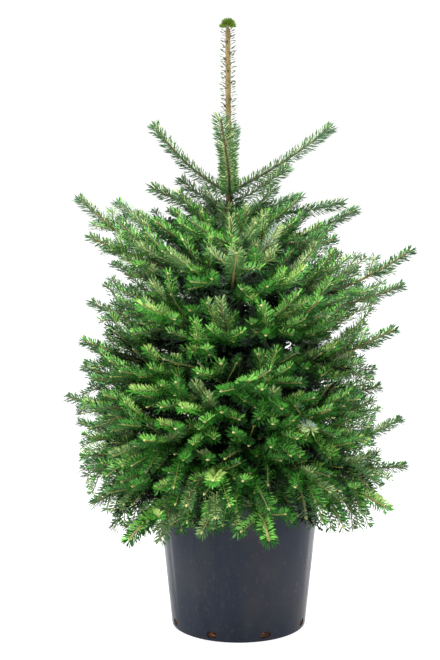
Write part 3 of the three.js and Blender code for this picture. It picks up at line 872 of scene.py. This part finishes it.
class Growth:
    """The joints that shoots can start from, with their headings and limbs, and all the tips."""

    def __init__(self):
        self.joints, self.ways, self.owners = [], [], []
        for limb in limbs:
            for share in np.arange(0.1, 0.95, JOINT_STEP / limb.reach):
                self.joints.append(limb.axis(share))
                self.ways.append(limb.heading(share))
                self.owners.append(limb)
        for shoot in shoots:
            if shoot.order:
                points, headings = shoot.at([0, 0.5])
                self.joints.extend(points)
                self.ways.extend(headings)
                self.owners.extend([shoot.limb] * 2)
        self.joints, self.ways = np.array(self.joints), np.array(self.ways)
        self.tips = np.array([shoot.end for shoot in shoots if shoot.tip])

    def best_joint(self, goal, wanted, wanted_length):
        """The number of the joint that a shoot to the goal grows from best, and its way there."""
        away = goal - self.joints
        far = np.linalg.norm(away, axis=1)
        away = away / far[:, None]
        angle = np.degrees(np.arccos(np.clip((away * self.ways).sum(1), -1, 1)))
        off = np.degrees(np.arccos(np.clip(away @ wanted, -1, 1)))
        cost = ANGLE_COST * abs(angle - SHOOT_ANGLE) + WAY_COST * off
        cost += LENGTH_COST * abs(far - wanted_length)
        cost[(far > SHOOT_LONGEST) | (angle > WIDEST_ANGLE)] = np.inf
        best = int(np.argmin(cost))
        return (best, away[best]) if np.isfinite(cost[best]) else (None, None)

    def fill(self, tries, spacing, depths, inner, seed, heights=BODY):
        """Grows a shoot to each open place between two depths and two heights of the crown."""
        for i in range(tries):
            azimuth = 2 * math.pi * (EVEN_TURN * i % 1)
            z = heights[0] + (heights[1] - heights[0]) * (EVEN_RISE * i % 1)
            depth = depths[0] + (depths[1] - depths[0]) * chance(seed + i)
            out = crown_radius(z, azimuth) * (1 - depth)
            outward = level(azimuth)
            goal = trunk_axis(z) + out * outward
            if z < skirt_height(azimuth) or not is_open(goal):
                continue
            wanted_length = np.interp(z, LENGTH_HEIGHTS, SHOOT_LENGTHS)
            apart = spacing * math.sqrt(wanted_length / SHOOT_LENGTHS[0])
            if ((self.tips - goal) ** 2).sum(1).min() < apart**2:
                continue
            # Low shoots hang over the rim, and higher ones rise more and more
            rise = np.interp(z, LIFT_HEIGHTS, LIFTS)
            wanted = normal(outward + (0, 0, rise))
            best, ahead = self.best_joint(goal, wanted, wanted_length)
            if best is None:
                continue
            limb, start = self.owners[best], self.joints[best]
            way = normal(ahead + CURVE * self.ways[best] - (0, 0, CURVE * rise))
            onward = normal(ahead + (0, 0, CURVE * rise))
            key = seed + 1000 + i
            grown = Shoot(limb, start, goal, way, onward, 0, 2, key, True, inner)
            middle, heading = grown.at([0.4])
            if not is_open(middle[0]):
                continue
            shoots.append(grown)
            self.tips = np.vstack([self.tips, goal])
            if not inner:
                self.joints = np.vstack([self.joints, middle])
                self.ways = np.vstack([self.ways, heading])
                self.owners.append(limb)


# The spacing is between the tips, in millimetres, and the depths are shares of the crown's reach
growth = Growth()
growth.fill(tries=14000, spacing=35, depths=(0, 0.26), inner=0, seed=70000)
growth.fill(tries=10000, spacing=31, depths=(0.28, 0.58), inner=1, seed=90000)
growth.fill(tries=6000, spacing=41, depths=(0.58, 0.9), inner=2, seed=110000)
growth.fill(tries=3000, spacing=29, depths=(0.15, 0.5), inner=1, seed=130000, heights=OVER_RIM)
growth.fill(
    tries=3000, spacing=25, depths=(0.4, 0.9), inner=2, seed=140000, heights=BETWEEN_WHORLS
)

# A twig's radius at its tip, and at its foot for each year of its age
TWIG_TIP = 1.1
WOOD_AT_AGE = (1.4, 1.8, 2.2, 2.6)
YOUNG_SHARE = 0.45
YOUNG, SECOND, OLD = range(3)
twigs = Joined()
for shoot in shoots:
    if shoot.order == 0:
        continue
    thick = WOOD_AT_AGE[min(shoot.age, 3)]
    thin = WOOD_AT_AGE[shoot.age - 1] if shoot.age else TWIG_TIP
    if shoot.inner:
        steps, sides, slot = 2, 4, OLD
    else:
        steps, sides = 4, 5
        slot = YOUNG if chance(shoot.key + 0.71) < YOUNG_SHARE else SECOND
    line, _ = shoot.at(np.linspace(0, 1, steps))
    twigs.tube(line, np.linspace(thick, thin, steps), sides, slot)
young_wood = plain("young_wood", "8f9048", 0.7)
second_wood = plain("second_wood", "6e6a36", 0.75)
old_wood = plain("old_wood", "30261a", 0.85)
twig_wood = twigs.piece("twigs", [young_wood, second_wood, old_wood], True)
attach(twig_wood, "root")


# --- Needles -----------------------------------------------------------------
# Flat blunt needles, set close all along each shoot. They part to either side like a herringbone,
# with more on the upper side, glossy green above and silvery beneath. The greens are mixed from
# shoot to shoot, fresh with a painted highlight at the tips of the boughs, lighter painted lit
# greens high in the crown, painted shade on the lower ranks and dark painted shade inside the crown.
NEEDLE_LENGTH = 20
NEEDLE_WIDTH = 2.7
NEEDLE_THICK = 0.35
NEEDLE_BEND = 0.1
LENGTHS_VARY = (0.84, 1.06)
WIDTHS_VARY = (0.88, 1.1)
# How much shorter the needles on top of a shoot are
SHORTER_ABOVE = 0.16
# How much longer and wider they are where a shoot stands alone: the tips of the boughs and the
# crown above this whorl
ALONE_ABOVE = 8
TIP_LONGER = 1.2
TOP_LONGER = 1.32
ALONE_WIDER = 1.25
# How much wider they are outside, inside and at the heart of the crown, where the wide dark needles
# stand as painted shade between the sprays
WIDER = (1, 2, 3)
# From one row to the next, and closer where a shoot stands alone or wider inside the crown
ROW_STEP = 6.6
ALONE_CLOSER = 0.75
INNER_APART = 1.45
# How many degrees above level the needles of a row stand to either side
RANKS = (-30, 5, 38, 74)
ALONE_RANKS = (-60, -30, -6, 18, 50)
INNER_RANKS = (-15, 30)
# How many degrees they lean off the shoot, with less to the sides and near the tip
LEAN = 80
LEAN_SIDEWAYS = 0.14
LEAN_AT_TIP = 20
# A star of needles closes round the bud, each turned on by this angle from the last, and the last
# ones lean more
STAR_NEEDLES = 8
SPIRAL = 137.5
STAR_LEAN = (34, 60)
# How unevenly they stand: as a share of the way to the next row, and in degrees
ROW_UNEVEN = 0.13
TURN_UNEVEN = 6
LEAN_UNEVEN = 4
# How strongly the upper faces turn up, ahead and out of the crown, and how unevenly
FACE_UP, FACE_AHEAD, FACE_OUT = 0.8, 0.4, 0.9
FACE_UNEVEN = 0.25
ALONE_UNEVEN = 0.45
# How far out the needles stand, on the twig's bark
ON_BARK = 0.7
# The share of its needles that a shoot has at each age, and the share of shaded ones
KEPT_AT_AGE = (1, 0.85, 0.7, 0.55)
SHADED_SHARE = 0.25
# From the freshest green, which is also a painted highlight, through the painted lit green and
# painted shades to the deepest, and the silvery and greyish greens of a few sprays, with a muted
# painted shade of the greyish
GREENS = ("aacb68", "77bd4c", "439229", "1b5011", "040c03", "93a89c", "95ae6c", "477038")
# How glossy each is, and the underside: the shaded ones show less of the sky
GLOSS = (0.4, 0.4, 0.32, 0.16, 0.04, 0.3, 0.32, 0.2, 0.2)
FRESH_HIGHLIGHT, LIT, MIDDLE, DEEP, DARK, SILVERY, GREYISH, MUTED = range(8)
UNDERSIDE = len(GREENS)
UNDERSIDE_GREEN = "6c8c6c"
# What each turns to in the shade
SHADED = np.array((MIDDLE, DEEP, DEEP, DARK, DARK, GREYISH, MUTED, DEEP))
# The greens that the shoots draw from: low in the crown, above this whorl, and inside it
LOW_GREENS = (FRESH_HIGHLIGHT, LIT, LIT, LIT, MIDDLE, MIDDLE, MIDDLE, DEEP, DEEP)
HIGH_ABOVE = 4
HIGH_GREENS = (FRESH_HIGHLIGHT, LIT, LIT, LIT, LIT, LIT, MIDDLE, MIDDLE, MIDDLE)
# The greens that the shoots draw from: low in the crown, above this whorl, with more of the painted
# lit green, and inside it, all dark with painted shade
INNER_GREENS = (DEEP, DARK, DARK, DARK)
# How many of a whorl's sprays are greyish, from the lowest up
GREYISH_SHARE = (0.12, 0.12, 0.08, 0.08, 0.08, 0.12, 0.24, 0.32, 0.36, 1, 1)
# Each corner's place along and aside, as shares of length and width, and its height as a share of
# the thickness: the foot, two shoulders and the tip, with a ridge from foot to tip
BLADE = np.array([(0, 0, 0), (0.68, -0.5, -1), (0.68, 0.5, -1), (1, 0, 0)])
BLADE_FACES = np.array([(0, 1, 3), (0, 3, 2), (0, 2, 1), (1, 2, 3)])
BLADE_UPPER = 2
# Inside the crown a needle is one thin wedge, broadest at its blunt tip
WEDGE = np.array([(0, 0, 0), (1, -0.5, 0), (1, 0.5, 0), (0.7, 0, 1.2)])
WEDGE_FACES = np.array([(0, 1, 3), (0, 3, 2), (1, 2, 3), (0, 2, 1)])
WEDGE_UPPER = 3
rng = np.random.default_rng(26)


def blades(mesh, roots, headings, faces_up, lengths, widths, slots, under, wedge=False):
    """Adds a needle at each root, with its upper face turned to faces_up, but none in the pot."""
    shape, shape_faces, upper = BLADE, BLADE_FACES, BLADE_UPPER
    if wedge:
        shape, shape_faces, upper = WEDGE, WEDGE_FACES, WEDGE_UPPER
    headings = normal(headings)
    above = normal(faces_up - (faces_up * headings).sum(1, keepdims=True) * headings)
    aside = np.cross(above, headings)
    bend = NEEDLE_BEND * shape[:, 0] ** 2
    along = shape[:, 0][None, :, None] * lengths[:, None, None] * headings[:, None]
    across = shape[:, 1][None, :, None] * widths[:, None, None] * aside[:, None]
    lift = (shape[:, 2] * NEEDLE_THICK + bend * NEEDLE_LENGTH)[None, :, None] * above[:, None]
    points = roots[:, None] + along + across + lift
    tips = roots + lengths[:, None] * headings
    out, height = np.hypot(tips[:, 0], tips[:, 1]), tips[:, 2]
    in_pot = (out < pot_radius(height) + POT_RIM + 1) & (height < POT_HEIGHT + 1)
    points = points[~in_pot]
    faces = shape_faces[None] + len(shape) * np.arange(len(points))[:, None, None]
    slots = np.broadcast_to(slots, len(in_pot))[~in_pot]
    kinds = np.where(np.arange(len(shape_faces)) < upper, slots[:, None], under)
    mesh.add(points, faces, kinds.ravel())


def needle_places(shoot, alone):
    """Places along a shoot, the angles round it and off it, in rows and in a star at its bud."""
    length = np.linalg.norm(shoot.end - shoot.start)
    ranks = np.array(ALONE_RANKS if alone else INNER_RANKS if shoot.inner else RANKS)
    step = ROW_STEP * (INNER_APART if shoot.inner else ALONE_CLOSER if alone else 1)
    rows = max(2, round(length / step))
    places = np.concatenate([ranks, 180 - ranks])
    row = np.repeat(np.arange(rows), len(places))
    turned = np.tile(places, rows)
    t = (row + 0.5 + rng.normal(0, ROW_UNEVEN, len(row))) / rows
    forward = LEAN - LEAN_SIDEWAYS * np.abs(turned - 90) - (LEAN_AT_TIP * t**4 if shoot.tip else 0)
    if shoot.tip and not shoot.inner:
        star = np.arange(STAR_NEEDLES)
        least, most = STAR_LEAN
        turned = np.concatenate([turned, SPIRAL * star])
        t = np.concatenate([t, 0.99 - 0.02 * star / STAR_NEEDLES])
        forward = np.concatenate([forward, least + (most - least) * star / STAR_NEEDLES])
    kept = rng.random(len(t)) < KEPT_AT_AGE[min(shoot.age, 3)]
    return t[kept], turned[kept], forward[kept]


def dress(mesh, shoot, slot):
    """Sets the needles of one shoot, most of them in the green of the slot."""
    at_top = shoot.limb.whorl > ALONE_ABOVE
    alone = at_top or shoot.order == 0 and shoot.tip
    t, turned, forward = needle_places(shoot, alone)
    count = len(t)
    points, ahead = shoot.at(np.clip(t, 0.02, 1))
    side = np.array([sideways(a) for a in ahead])
    above = np.cross(ahead, side)
    lower = np.sin(np.radians(turned)) < 0.2
    turned = np.radians(turned + rng.normal(0, TURN_UNEVEN, count))
    forward = np.radians(forward + rng.normal(0, LEAN_UNEVEN, count))
    across = side * np.cos(turned)[:, None] + above * np.sin(turned)[:, None]
    headings = ahead * np.cos(forward)[:, None] + across * np.sin(forward)[:, None]
    lengths = NEEDLE_LENGTH * rng.uniform(*LENGTHS_VARY, count)
    lengths *= 1 - SHORTER_ABOVE * (np.sin(turned) > 0.6)
    widths = NEEDLE_WIDTH * rng.uniform(*WIDTHS_VARY, count) * WIDER[shoot.inner]
    if alone:
        lengths *= TOP_LONGER if at_top else TIP_LONGER
        widths *= ALONE_WIDER
    outward = normal(points - [trunk_axis(point[2]) for point in points])
    uneven = rng.normal(0, ALONE_UNEVEN if alone else FACE_UNEVEN, (count, 3))
    upper = FACE_UP * above + FACE_AHEAD * ahead + FACE_OUT * outward + uneven
    # The lower ranks take the painted shade copy of the shoot's green, and so does one needle here
    # and there
    slots = np.where(lower | (rng.random(count) < SHADED_SHARE), SHADED[slot], slot)
    roots = points + across * ON_BARK
    blades(mesh, roots, headings, upper, lengths, widths, slots, UNDERSIDE, shoot.inner)


greens = []
for i, (code, gloss) in enumerate(zip((*GREENS, UNDERSIDE_GREEN), GLOSS)):
    greens.append(plain(f"needle_{'under' if i == UNDERSIDE else i + 1}", code, 0.4, gloss))

# The shoots nearest to these places take the silvery green, as if turned over to show their silvery
# side
SILVERY_SPOTS = ((130, -275, 480), (86, -200, 845), (-190, -190, 235))
outer_tips = [shoot for shoot in shoots if shoot.tip and not shoot.inner]
turned_over = [
    min(outer_tips, key=lambda shoot: np.linalg.norm(shoot.end - spot)) for spot in SILVERY_SPOTS
]


def green_of(shoot):
    """The green that most needles of a shoot have."""
    roll = chance(shoot.key + 0.37)
    if shoot in turned_over:
        return SILVERY
    if shoot.inner:
        return INNER_GREENS[int(roll * len(INNER_GREENS))]
    if roll < GREYISH_SHARE[shoot.limb.whorl]:
        return GREYISH
    # The tips of the boughs themselves all take the fresh green with its painted highlight, or the
    # painted lit green
    roll = chance(shoot.key + 0.81) * (0.4 if shoot.order == 0 else 1)
    choices = HIGH_GREENS if shoot.limb.whorl > HIGH_ABOVE else LOW_GREENS
    return choices[int(roll * len(choices))]


# One piece a whorl, but two for the lowest, which has the most shoots
groups = {
    f"needles_whorl_{w + 1}": [limb for limb in limbs if limb.whorl == w]
    for w in range(len(WHORLS))
}
lowest = groups["needles_whorl_1"]
groups["needles_whorl_1"] = [limb for limb in lowest if limb.azimuth <= 0]
groups["needles_whorl_1_back"] = [limb for limb in lowest if limb.azimuth > 0]
for name, dressed in groups.items():
    sprays = Joined()
    for shoot in shoots:
        if shoot.limb in dressed:
            dress(sprays, shoot, green_of(shoot))
    needles = sprays.piece(name, greens, False)
    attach(needles, "root")
    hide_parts(*[f"foliage_{limb.name}" for limb in dressed])


# --- Buds --------------------------------------------------------------------
# Resinous winter buds, cream to yellow-green, three at the tip of each shoot that shows: a large one
# ahead and a smaller one to either side.
BUD_LENGTH = 6.5
BUD_RADIUS = 2.2
BUD_SIDES = 5
# Where its two rings are, as shares of the length, and how wide, as shares of the radius
BUD_RINGS = ((0, 0.6), (0.45, 1))
# How large the buds are at the least, how much they vary, and how much larger a bough's are
LEAST_BUD = 0.75
BUDS_VARY = 0.4
BOUGH_BUD = 1.3
# How large a side bud is beside the middle one, and how many degrees it turns off
SIDE_SIZE = 0.8
SIDE_ANGLE = 40
SIDE_SPREAD = 20


def bud(mesh, root, heading, size, slot):
    """A pointed bud, widest just under its middle."""
    side = sideways(heading)
    down = np.cross(side, heading)
    points = []
    for at, wide in BUD_RINGS:
        for a in 2 * np.pi * np.arange(BUD_SIDES) / BUD_SIDES:
            across = side * math.cos(a) + down * math.sin(a)
            points.append(root + size * (BUD_LENGTH * at * heading + BUD_RADIUS * wide * across))
    points += [root, root + size * BUD_LENGTH * heading]
    foot, tip = 2 * BUD_SIDES, 2 * BUD_SIDES + 1
    faces = []
    for k in range(BUD_SIDES):
        n = (k + 1) % BUD_SIDES
        over_k, over_n = BUD_SIDES + k, BUD_SIDES + n
        faces += [(k, over_n, n), (k, over_k, over_n), (k, n, foot), (over_n, over_k, tip)]
    mesh.add(points, faces, slot)


bud_mesh = Joined()
for shoot in outer_tips:
    ahead = shoot.onward
    size = LEAST_BUD + BUDS_VARY * chance(shoot.key + 0.5)
    size *= BOUGH_BUD if shoot.order == 0 else 1
    kind = int(3 * chance(shoot.key + 0.9))
    bud(bud_mesh, shoot.end - ahead, ahead, size, kind)
    for k, side in enumerate((-1, 1)):
        angle = SIDE_ANGLE + SIDE_SPREAD * chance(shoot.key + k)
        heading = turn(ahead, side * angle, 0.15)
        bud(bud_mesh, shoot.end - 1.5 * ahead, heading, SIDE_SIZE * size, max(kind, k))
bud_cream = plain("bud_cream", "ddd394", 0.5)
bud_green = plain("bud_green", "b3b866", 0.5)
bud_brown = plain("bud_brown", "96904e", 0.5)
buds = bud_mesh.piece("buds", [bud_cream, bud_green, bud_brown], True)
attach(buds, "root")


# --- Leader needles ----------------------------------------------------------
# On the leader the needles are thin and stand straight out all round, sparse towards the top, with
# small dark side buds between them, and a bright rosette of short needles closes the tip.
LEADER_NEEDLES = 430
# Between which heights they stand, and how they thin out upwards
LEADER_SPAN = (LEADER_FOOT - 58, 1272)
THINS_OUT = 1.35
LEADER_LENGTHS = (13, 18)
LEADER_WIDTHS = (2.6, 3.2)
# How much they rise, and how far they are rolled to either side
LEADER_RISE = (-0.05, 0.55)
LEADER_ROLL = (-0.9, 0.9)
SIDE_BUDS = 22
SIDE_BUD_SPAN = (1000, 1265)
ROSETTE_NEEDLES = 170
ROSETTE_FOOT = 1280
ROSETTE_LENGTH = 18
ROSETTE_WIDTH = 3.2
LEADER_GREEN, ROSETTE_GREEN, BUD_BROWN = range(3)

leader_mesh = Joined()
i = np.arange(LEADER_NEEDLES)
turns = np.radians(SPIRAL * i)
low, high = LEADER_SPAN
heights = low + (high - low) * ((i + 0.5) / LEADER_NEEDLES) ** THINS_OUT
outward = np.stack([np.cos(turns), np.sin(turns), 0 * turns], 1)
around = np.stack([-np.sin(turns), np.cos(turns), 0 * turns], 1)
roots = np.array([trunk_axis(z) for z in heights])
roots += outward * np.array([[trunk_radius(z) - 0.6] for z in heights])
headings = outward + UPWARD * rng.uniform(*LEADER_RISE, (LEADER_NEEDLES, 1))
upper = UPWARD + around * rng.choice(LEADER_ROLL, (LEADER_NEEDLES, 1))
lengths = rng.uniform(*LEADER_LENGTHS, LEADER_NEEDLES)
widths = rng.uniform(*LEADER_WIDTHS, LEADER_NEEDLES)
blades(leader_mesh, roots, headings, upper, lengths, widths, LEADER_GREEN, LEADER_GREEN)
low, high = SIDE_BUD_SPAN
for k in range(SIDE_BUDS):
    z = low + (high - low) * (k + 0.5) / SIDE_BUDS
    turned = math.radians(SPIRAL * k + 30 * chance(k + 0.2))
    root = trunk_axis(z) + level(turned) * (trunk_radius(z) - 1.5)
    heading = normal(level(turned) + 0.9 * UPWARD)
    bud(leader_mesh, root, heading, 1 + 0.7 * chance(k + 0.6), BUD_BROWN)
# The rosette's needles stand straight up in the middle and just under level at its edge
i = np.arange(ROSETTE_NEEDLES)
turns = np.radians(SPIRAL * i)
lean = np.sqrt((i + 0.5) / ROSETTE_NEEDLES)
headings = np.stack([lean * np.cos(turns), lean * np.sin(turns), 1.05 - 1.15 * lean**2], 1)
roots = trunk_axis(ROSETTE_FOOT) + 4 * headings * (1, 1, 0.6)
upper = 0.6 * UPWARD - 0.5 * headings + rng.normal(0, 0.4, (ROSETTE_NEEDLES, 3))
lengths = ROSETTE_LENGTH - 1.5 * lean
widths = np.full(ROSETTE_NEEDLES, ROSETTE_WIDTH)
blades(leader_mesh, roots, headings, upper, lengths, widths, ROSETTE_GREEN, ROSETTE_GREEN)
leader_green = plain("leader_needle", "4f6840", 0.45)
rosette_green = plain("rosette_needle", "587217", 0.42)
side_bud = plain("side_bud", "4d3c22", 0.6)
leader_greens = [leader_green, rosette_green, side_bud]
leader = leader_mesh.piece("leader_needles_fine", leader_greens, False)
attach(leader, "root")
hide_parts("leader_needles")


# --- Studio ------------------------------------------------------------------
# A plain pale floor that runs on behind the plant, a bright surround that is darker in front, a
# large soft light above, a weak one in front, and a tall narrow light on either side.
FLOOR_SIZE = 60
FLOOR_GLOW = 0.75
SURROUND_LIGHT = 1.1
CAMERA_PLACE = (0, -2.7, 0.93)
CAMERA_DOWN = 6.1
CAMERA_LENS = 68.98
CAMERA_SENSOR = 36
CAMERA_ASIDE = -0.0283

start_fresh()
bpy.ops.mesh.primitive_plane_add(size=FLOOR_SIZE, location=(0, 0, 0))
floor = bpy.context.object
floor.name = "floor"
pale, tree, shader = material("pale_floor", 0.9)
shader.inputs["Base Color"].default_value = (0.55, 0.55, 0.55, 1)
shader.inputs["Emission Color"].default_value = (1, 1, 1, 1)
shader.inputs["Emission Strength"].default_value = FLOOR_GLOW
floor.data.materials.append(pale)

world = bpy.data.worlds.new("surround")
bpy.context.scene.world = world
world.use_nodes = True
tree = world.node_tree
direction = node(tree, "TexCoord", "Generated", {})
behind = node(tree, "SeparateXYZ", "Y", {"Vector": direction})
brightness = spread(tree, behind, -0.9, -0.1, least=0.06)
tree.links.new(brightness, tree.nodes["Background"].inputs["Color"])
tree.nodes["Background"].inputs["Strength"].default_value = SURROUND_LIGHT


def soft_light(name, power, width, height, place, aim):
    """A soft light of this many watts and metres across and high, turned to the aim."""
    lamp = bpy.data.lights.new(name, "AREA")
    lamp.shape = "RECTANGLE"
    lamp.size = width
    lamp.size_y = height
    lamp.energy = power
    made = bpy.data.objects.new(name, lamp)
    made.location = place
    from_here = np.array(aim, float) - np.array(place, float)
    yaw = math.atan2(from_here[1], from_here[0]) - math.pi / 2
    pitch = math.atan2(from_here[2], math.hypot(from_here[0], from_here[1]))
    made.rotation_euler = (math.pi / 2 + pitch, 0, yaw)
    bpy.context.scene.collection.objects.link(made)


soft_light("top_light", 112, 1.0, 1.0, (-0.3, -0.7, 3.0), (0, 0, 0.6))
soft_light("front_light", 9, 1.2, 0.9, (-0.9, -2.6, 2.6), (0, 0, 0.7))
soft_light("left_light", 34, 0.14, 1.8, (-2.3, -0.7, 0.9), (0, 0, 0.5))
soft_light("right_light", 32, 0.2, 1.8, (2.3, -0.2, 0.9), (0, 0, 0.5))

camera_data = bpy.data.cameras.new("camera")
camera_data.lens = CAMERA_LENS
camera_data.sensor_width = CAMERA_SENSOR
camera_data.shift_x = CAMERA_ASIDE
camera = bpy.data.objects.new("camera", camera_data)
camera.location = CAMERA_PLACE
camera.rotation_euler = (math.radians(90 - CAMERA_DOWN), 0, 0)
bpy.context.scene.collection.objects.link(camera)
bpy.context.scene.camera = camera
bpy.context.scene.view_settings.view_transform = "Standard"
